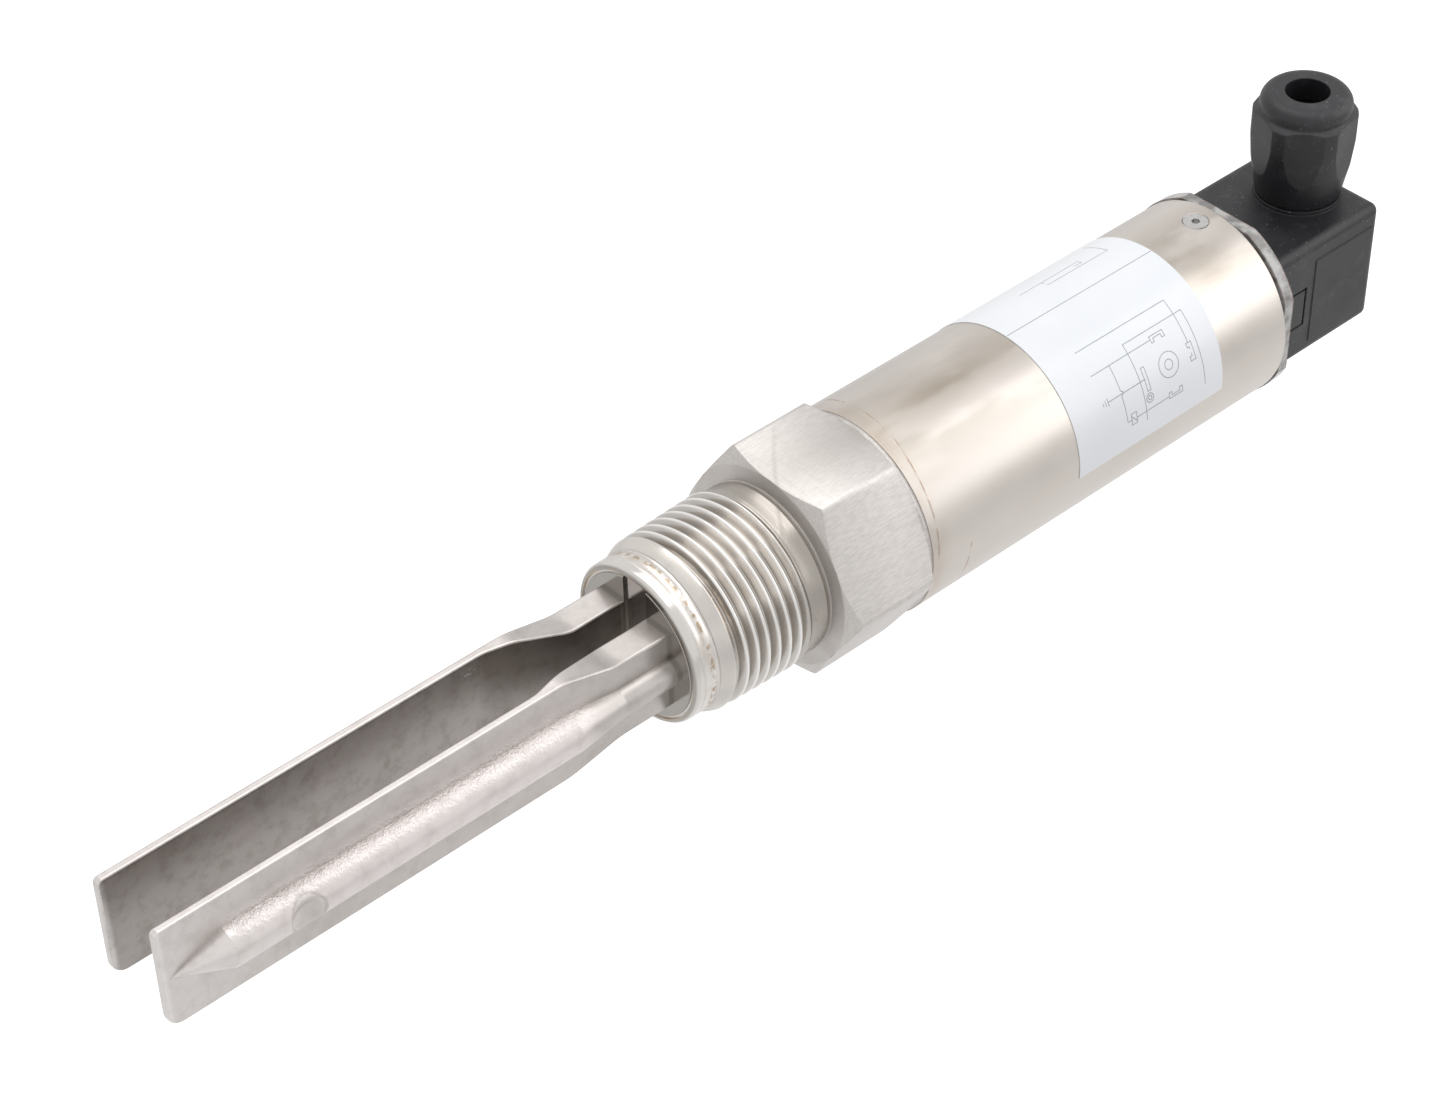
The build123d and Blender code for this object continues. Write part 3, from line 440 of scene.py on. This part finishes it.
# Slot: darker tone, lighter tone and roughness
PLAIN_FINISHES = {
    "white_ceramic": ((0.80, 0.78, 0.74), (0.86, 0.85, 0.82), 0.5),
    "piezo_ceramic": ((0.30, 0.25, 0.15), (0.38, 0.32, 0.20), 0.6),
    "cream_plastic": ((0.62, 0.56, 0.40), (0.68, 0.62, 0.46), 0.5),
    "board_green": ((0.010, 0.085, 0.03), (0.016, 0.11, 0.04), 0.35),
    "component_black": ((0.012, 0.012, 0.014), (0.02, 0.02, 0.022), 0.45),
    "dark_plastic": ((0.016, 0.016, 0.018), (0.026, 0.026, 0.028), 0.45),
    "black_rubber": ((0.035, 0.033, 0.032), (0.05, 0.048, 0.047), 0.5),
    "wire_jacket": ((0.42, 0.02, 0.015), (0.52, 0.03, 0.02), 0.4),
}


def finishes():
    """One material for each slot of the record."""
    made = {
        "cast_steel": cast_steel(),
        "turned_steel": turned_steel(),
        "tube_steel": tube_steel(),
        "screw_steel": screw_steel(),
        "label_foil": label_foil(),
        "brass": bare_metal("brass", (0.66, 0.47, 0.20), (0.76, 0.58, 0.27)),
        "tinned_brass": bare_metal("tinned_brass", (0.66, 0.63, 0.56), (0.76, 0.73, 0.66)),
        "black_plastic": black_plastic(),
        "grey_gasket": grey_gasket(),
    }
    for name, look in PLAIN_FINISHES.items():
        made[name] = moulded_plastic(name, *look)
    return made


def mesh_piece(name, points, faces, material, body, crease=30.0):
    """A mesh from points in millimetres, smooth but for edges sharper than the crease."""
    mesh = bpy.data.meshes.new(name)
    mesh.from_pydata([tuple(value * MM for value in point) for point in points], [], faces)
    mesh.materials.append(material)
    mesh.shade_smooth()
    mesh.set_sharp_from_angle(angle=radians(crease))
    piece = bpy.data.objects.new(name, mesh)
    bpy.context.scene.collection.objects.link(piece)
    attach(piece, body)
    return piece


def rows_of_faces(row_count, column_count):
    """Quads of a surface whose rows and columns both close on themselves."""
    faces = []
    for row in range(row_count):
        after = (row + 1) % row_count
        for column in range(column_count):
            beside = (column + 1) % column_count
            faces.append((row * column_count + column, row * column_count + beside,
                          after * column_count + beside, after * column_count + column))
    return faces


# Threaded neck
NECK_COLUMNS = 320
THREAD_STEP = 0.08
NOSE_STEPS = 22
NOSE_EDGE = 0.12
SHOULDER_STEPS = 8
SHOULDER_LIP = 0.22
SHOULDER_BELLY = 0.3
THREAD_FLANK_ANGLE = radians(27.5)
THREAD_ROUND = 0.317
THREAD_ROUND_HALF = THREAD_ROUND * cos(THREAD_FLANK_ANGLE)
THREAD_PHASE_X = -19.5
THREAD_PHASE_ANGLE = 131.0
THREAD_END_X = -3.6
LEAD_IN_LENGTH = 1.6
LEAD_IN_DROP = 1.2
RIPPLE_HEIGHT = 0.03
RIPPLE_LENGTH = 1.6
WELD_MARK_HEIGHT = 0.07
WELD_MARK_LENGTH = 0.6
NOSE_VALLEY_DEPTH = 0.1
NOSE_VALLEY_X = SHOULDER_X - 0.35
NOSE_VALLEY_LENGTH = 0.5
CHAMFER = tan(radians(30))
HEX_CORNER_ROUND = 0.35
EDGE_ROUND = 0.05
EDGE_RUN = 0.12


def thread_crest_radius(x):
    """Crest radius of the tapered thread."""
    return THREAD_CREST_AT_ZERO + x * THREAD_TAPER


def thread_surface(x, angle):
    """Radius of the helical thread at a place along the axis and an angle in degrees."""
    turns = (x - THREAD_PHASE_X) / THREAD_PITCH - (angle - THREAD_PHASE_ANGLE) / 360
    from_crest = abs(turns - round(turns)) * THREAD_PITCH
    from_root = THREAD_PITCH / 2 - from_crest
    crest = thread_crest_radius(x)
    if from_crest < THREAD_ROUND_HALF:
        radius = crest - THREAD_ROUND + sqrt(THREAD_ROUND ** 2 - from_crest ** 2)
    elif from_root < THREAD_ROUND_HALF:
        radius = crest - THREAD_DEPTH + THREAD_ROUND - sqrt(THREAD_ROUND ** 2 - from_root ** 2)
    else:
        middle = THREAD_PITCH / 4 - from_crest
        radius = crest - THREAD_DEPTH / 2 + middle / tan(THREAD_FLANK_ANGLE)
    lead_in = min(1.0, max(0.0, (x - THREAD_START_X) / LEAD_IN_LENGTH))
    lead_in_start = SHOULDER_RADIUS - LEAD_IN_DROP
    radius = min(radius, lead_in_start + (crest - lead_in_start) * lead_in)
    washout = min(1.0, max(0.0, (x - WASHOUT_X) / WASHOUT_LENGTH))
    return radius + (RELIEF_RADIUS - radius) * washout


def hexagon_distance(angle):
    """Distance from the axis to the hexagon at an angle, with its corners a little round."""
    from_corner = (angle - HEX_TURN) % 60
    from_flat = radians(abs(from_corner - 30))
    flat = HEX_HALF_FLATS / cos(from_flat)
    corner = HEX_HALF_FLATS / cos(radians(30))
    return min(flat, corner - HEX_CORNER_ROUND / 2)


def nose_radius(x, angle):
    """Radius of the welded nose: soft turned ripples and a row of small weld marks."""
    place = Vector((x, NOSE_RADIUS * cos(radians(angle)), NOSE_RADIUS * sin(radians(angle))))
    ripple = RIPPLE_HEIGHT * sin((x - NOSE_WELD_X) * 2 * pi / RIPPLE_LENGTH)
    near_marks = max(0.0, 1 - abs(x - WELD_MARKS_X) / WELD_MARK_LENGTH)
    marks = WELD_MARK_HEIGHT * near_marks * noise.noise(place * 1.3)
    valley = max(0.0, 1 - abs(x - NOSE_VALLEY_X) / NOSE_VALLEY_LENGTH)
    return NOSE_RADIUS + ripple - NOSE_VALLEY_DEPTH * valley + marks


def neck_profile(angle):
    """(x, radius) of the neck at one angle, along the outside and back through the bore."""
    line = [(NOSE_WELD_X, BORE_RADIUS), (NOSE_WELD_X, NOSE_RADIUS - NOSE_EDGE),
            (NOSE_WELD_X + NOSE_EDGE, NOSE_RADIUS - 0.01)]
    nose_start, nose_end = NOSE_WELD_X + 0.3, SHOULDER_X - 0.1
    for step in range(NOSE_STEPS):
        x = nose_start + (nose_end - nose_start) * step / (NOSE_STEPS - 1)
        line.append((x, nose_radius(x, angle)))
    rise = SHOULDER_RADIUS - NOSE_RADIUS - SHOULDER_LIP
    for step in range(SHOULDER_STEPS + 1):
        along = step / SHOULDER_STEPS
        swell = (1 + SHOULDER_BELLY - SHOULDER_BELLY * along) * along
        radius = NOSE_RADIUS + SHOULDER_LIP + rise * swell
        line.append((SHOULDER_X + SHOULDER_LENGTH * along, radius))
    line += [(THREAD_START_X - 0.15, SHOULDER_RADIUS),
             (THREAD_START_X - EDGE_ROUND, SHOULDER_RADIUS - EDGE_ROUND)]
    steps = int((THREAD_END_X - THREAD_START_X) / THREAD_STEP)
    for step in range(steps + 1):
        x = THREAD_START_X + step * THREAD_STEP
        line.append((x, thread_surface(x, angle)))
    hexagon = hexagon_distance(angle)
    front_x = (hexagon - HEX_HALF_FLATS) * CHAMFER
    rear_x = HEX_LENGTH - max(0.0, hexagon - NECK_RADIUS) * CHAMFER
    line += [
        # A faint bead, the groove and the hexagon's front face
        (-GROOVE_WIDTH - 0.45, RELIEF_RADIUS), (-GROOVE_WIDTH - 0.3, RELIEF_RADIUS + EDGE_ROUND),
        (-GROOVE_WIDTH - EDGE_RUN, RELIEF_RADIUS + EDGE_ROUND),
        (-GROOVE_WIDTH, RELIEF_RADIUS - EDGE_ROUND),
        (-GROOVE_WIDTH + 0.15, GROOVE_RADIUS), (-0.2, GROOVE_RADIUS),
        (-EDGE_ROUND, GROOVE_RADIUS + EDGE_ROUND), (0.0, GROOVE_RADIUS + 0.2),
        (0.0, HEX_HALF_FLATS - 0.15), (0.04, HEX_HALF_FLATS - 0.02),
        # The hexagon between its chamfers
        (front_x, hexagon - EDGE_ROUND), (front_x + EDGE_RUN, hexagon), (HEX_LENGTH / 2, hexagon),
        (rear_x - EDGE_RUN, hexagon), (rear_x, hexagon - EDGE_ROUND),
        # The neck, which flares to the tube, the spigot and back to the bore
        (HEX_LENGTH, min(hexagon, NECK_RADIUS) - 0.02), (HEX_LENGTH + 0.15, NECK_RADIUS),
        (NECK_LENGTH - 0.2, NECK_RADIUS), (NECK_LENGTH - 0.02, NECK_RADIUS + 0.2),
        (NECK_LENGTH, SPIGOT_RADIUS), (SPIGOT_END_X, SPIGOT_RADIUS),
        (SPIGOT_END_X, BORE_RADIUS),
    ]
    return line


def threaded_neck(material):
    """The turned neck with its helical thread and hexagon."""
    profiles = []
    for column in range(NECK_COLUMNS):
        angle = HEX_TURN + 360 * column / NECK_COLUMNS
        around = radians(angle)
        profiles.append([(x, radius * cos(around), radius * sin(around))
                         for x, radius in neck_profile(angle)])
    points = [profile[row] for row in range(len(profiles[0])) for profile in profiles]
    faces = rows_of_faces(len(profiles[0]), NECK_COLUMNS)
    piece = mesh_piece("threaded_neck", points, faces, material, "sensor")
    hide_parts("process_connection")


# Line drawing on the label: (along the tube in millimetres, degrees about it). No lettering.
PRINT_WIDTH = 0.14
PRINT_STEP = 1.2
PRINT_FOOT = LABEL_RADIUS - 0.01
PRINT_TOP = LABEL_RADIUS + 0.015
RING_SIDES = 20
PRINT_LINES = (
    ((56.2, 92.1), (92.6, 92.4)),
    ((63.7, 120.3), (86.2, 120.4), (86.2, 146.0)),
    ((73.1, 172.2), (73.1, 129.2), (88.1, 129.2), (88.2, 172.2)),
    ((63.8, 134.6), (78.8, 134.5)),
    ((68.3, 134.6), (68.3, 149.0), (68.9, 150.4), (68.2, 152.0), (68.3, 167.0), (69.4, 167.1)),
    ((69.3, 163.7), (70.6, 163.7), (70.6, 170.0), (69.3, 170.0), (69.3, 163.7)),
    ((69.3, 165.0), (70.6, 169.0)),
    ((64.9, 150.8), (74.3, 150.7)),
    ((64.9, 148.8), (64.9, 152.8)), ((64.3, 149.5), (64.3, 152.1)), ((63.7, 150.2), (63.7, 151.4)),
    ((74.2, 144.4), (75.0, 144.4), (75.0, 157.3), (74.2, 157.3), (74.2, 144.4)),
    ((70.6, 167.2), (78.8, 167.0)),
    ((78.9, 132.8), (82.2, 132.8), (82.2, 136.3), (81.5, 136.3), (81.5, 134.3), (79.6, 134.3),
     (79.6, 136.3), (78.9, 136.3), (78.9, 132.8)),
    ((79.0, 168.3), (82.4, 168.3), (82.4, 165.0), (81.7, 165.0), (81.7, 166.9), (79.7, 166.9),
     (79.7, 165.0), (79.0, 165.0), (79.0, 168.3)),
    ((86.9, 145.8), (86.9, 155.7), (85.7, 155.7), (85.7, 153.3), (86.2, 153.3), (86.2, 148.3),
     (85.7, 148.3), (85.7, 145.8), (86.9, 145.8)),
    ((67.5, 68.6), (82.2, 68.6), (82.2, 71.6), (80.4, 71.6)),
    ((72.9, 69.0), (72.9, 74.0), (88.0, 74.3), (88.1, 56.0)),
)
PRINT_RINGS = ((80.5, 150.6, 2.35), (80.5, 150.6, 0.95), (74.4, 161.1, 0.85), (74.4, 161.1, 0.4))


def print_strip(points, faces, start, end):
    """A thin strip on the label between two places, in short steps around the tube."""
    along, around = end[0] - start[0], radians(end[1] - start[1]) * LABEL_RADIUS
    length = hypot(along, around)
    count = max(1, round(length / PRINT_STEP))
    side_x = -around / length * PRINT_WIDTH / 2
    side_arc = along / length * PRINT_WIDTH / 2
    first = len(points)
    for step in range(count + 1):
        reach = (step / count * (length + PRINT_WIDTH) - PRINT_WIDTH / 2) / length
        for side, radius in ((-1, PRINT_FOOT), (-1, PRINT_TOP), (1, PRINT_TOP), (1, PRINT_FOOT)):
            x = start[0] + along * reach + side * side_x
            turn = radians(start[1]) + (around * reach + side * side_arc) / LABEL_RADIUS
            points.append((x, radius * cos(turn), radius * sin(turn)))
    for step in range(count):
        here = first + 4 * step
        for corner in range(4):
            after = (corner + 1) % 4
            faces.append((here + corner, here + after, here + 4 + after, here + 4 + corner))
    faces.append(tuple(first + corner for corner in (3, 2, 1, 0)))
    faces.append(tuple(first + 4 * count + corner for corner in range(4)))


def label_drawing(material):
    """The printed line drawing of the label."""
    lines = list(PRINT_LINES)
    for x, angle, radius in PRINT_RINGS:
        reach = degrees(radius / LABEL_RADIUS)
        turns = [2 * pi * side / RING_SIDES for side in range(RING_SIDES + 1)]
        lines.append(tuple((x + radius * cos(turn), angle + reach * sin(turn)) for turn in turns))
    points, faces = [], []
    for line in lines:
        for start, end in zip(line, line[1:]):
            print_strip(points, faces, start, end)
    mesh_piece("label_drawing", points, faces, material, "sensor")


def dress_nodes(materials):
    """Each node of the frame takes its slot's material."""
    slots = {row["node"]: row["material_slot"] for row in frame["record"]["subparts"]}
    for name, node in frame["nodes"].items():
        node.data.materials.clear()
        node.data.materials.append(materials[slots[name]])


def add_camera():
    """The camera at the photograph's place, angle and lens."""
    data = bpy.data.cameras.new("camera")
    data.sensor_fit = "HORIZONTAL"
    data.sensor_width = SENSOR_WIDTH
    data.lens = CAMERA_LENS
    data.clip_start = 0.01
    data.clip_end = 20
    camera = bpy.data.objects.new("camera", data)
    bpy.context.scene.collection.objects.link(camera)
    ahead = CAMERA_AHEAD.normalized()
    right = (CAMERA_RIGHT - ahead * CAMERA_RIGHT.dot(ahead)).normalized()
    up = right.cross(ahead)
    turn = Matrix((right, up, -ahead)).transposed().to_4x4()
    camera.matrix_world = Matrix.Translation(CAMERA_PLACE) @ turn
    bpy.context.scene.camera = camera


# Stage
FLOOR_Z = -0.26
FLOOR_SIZE = 6.0
FLOOR_GLOW = 0.6
MIRRORED_FLOOR_GLOW = 0.32
SOFT_LIGHT = 0.62

# Soft boxes: place, point aimed at, size and brightness
LAMPS = {
    "overhead": ((0.09, 0.09, 0.40), (0.09, 0.09, 0.0), (0.30, 0.48), 1.6),
    "right": ((0.42, -0.24, 0.23), (0.42, 0.0, 0.0), (0.38, 0.44), 1.5),
}


def add_world():
    """White for the camera, reflections and glass, and a soft light for matte surfaces."""
    world = bpy.data.worlds.new("studio")
    bpy.context.scene.world = world
    world.use_nodes = True
    tree = world.node_tree
    tree.nodes.clear()
    path = tree.nodes.new("ShaderNodeLightPath")
    white_seen = path.outputs["Is Camera Ray"]
    for ray in ("Is Transmission Ray", "Is Glossy Ray"):
        either = tree.nodes.new("ShaderNodeMath")
        either.operation = "MAXIMUM"
        tree.links.new(white_seen, either.inputs[0])
        tree.links.new(path.outputs[ray], either.inputs[1])
        white_seen = either.outputs[0]
    mix = tree.nodes.new("ShaderNodeMixShader")
    tree.links.new(white_seen, mix.inputs[0])
    for place, strength in ((1, SOFT_LIGHT), (2, 1.0)):
        background = tree.nodes.new("ShaderNodeBackground")
        background.inputs["Color"].default_value = (1, 1, 1, 1)
        background.inputs["Strength"].default_value = strength
        tree.links.new(background.outputs[0], mix.inputs[place])
    output = tree.nodes.new("ShaderNodeOutputWorld")
    tree.links.new(mix.outputs[0], output.inputs[0])


def floor_material():
    """Pale floor that shows white, with the object's soft shadow on it."""
    g = Graph("pale_floor")
    path = g.node("ShaderNodeLightPath")
    cloud = g.noise(300.0, 2.0)
    tone = g.mix(cloud, (0.80, 0.80, 0.80), (0.82, 0.82, 0.82))
    matte = g.node("ShaderNodeBsdfDiffuse", {"Color": tone})
    strength = g.span(path.outputs["Is Glossy Ray"], 0.0, 1.0, FLOOR_GLOW, MIRRORED_FLOOR_GLOW)
    glow = g.node("ShaderNodeEmission", {"Color": (1, 1, 1, 1), "Strength": strength})
    both = g.node("ShaderNodeAddShader", {0: matte.outputs[0], 1: glow.outputs[0]})
    seen = g.math("MAXIMUM", path.outputs["Is Camera Ray"], path.outputs["Is Glossy Ray"])
    seen = g.math("MAXIMUM", seen, path.outputs["Is Transmission Ray"])
    mix = g.node("ShaderNodeMixShader", {0: seen, 1: matte.outputs[0], 2: both.outputs[0]})
    g.node("ShaderNodeOutputMaterial", {"Surface": mix.outputs[0]})
    return g.material


def add_floor():
    """A wide pale floor, well below the object."""
    half = FLOOR_SIZE / 2
    mesh = bpy.data.meshes.new("floor")
    mesh.from_pydata([(-half, -half, FLOOR_Z), (half, -half, FLOOR_Z), (half, half, FLOOR_Z),
                      (-half, half, FLOOR_Z)], [], [(0, 1, 2, 3)])
    mesh.materials.append(floor_material())
    floor = bpy.data.objects.new("floor", mesh)
    bpy.context.scene.collection.objects.link(floor)


def add_lamp(name, place, target, size, brightness):
    """A soft box aimed at a point, as bright as given over its whole face."""
    data = bpy.data.lights.new(name, "AREA")
    data.shape = "RECTANGLE"
    data.size, data.size_y = size
    data.energy = brightness * pi * size[0] * size[1]
    lamp = bpy.data.objects.new(name, data)
    bpy.context.scene.collection.objects.link(lamp)
    lamp.location = place
    lamp.rotation_euler = (Vector(target) - Vector(place)).to_track_quat("-Z", "Y").to_euler()
    lamp.visible_camera = False


def add_lights():
    """A soft box overhead and one to the right, both mirrored in the steel."""
    for name, lamp in LAMPS.items():
        add_lamp(name, *lamp)


bpy.context.scene.view_settings.view_transform = "Standard"
add_camera()
add_world()
add_floor()
add_lights()
materials = finishes()
dress_nodes(materials)
threaded_neck(materials["turned_steel"])
label_drawing(label_print())
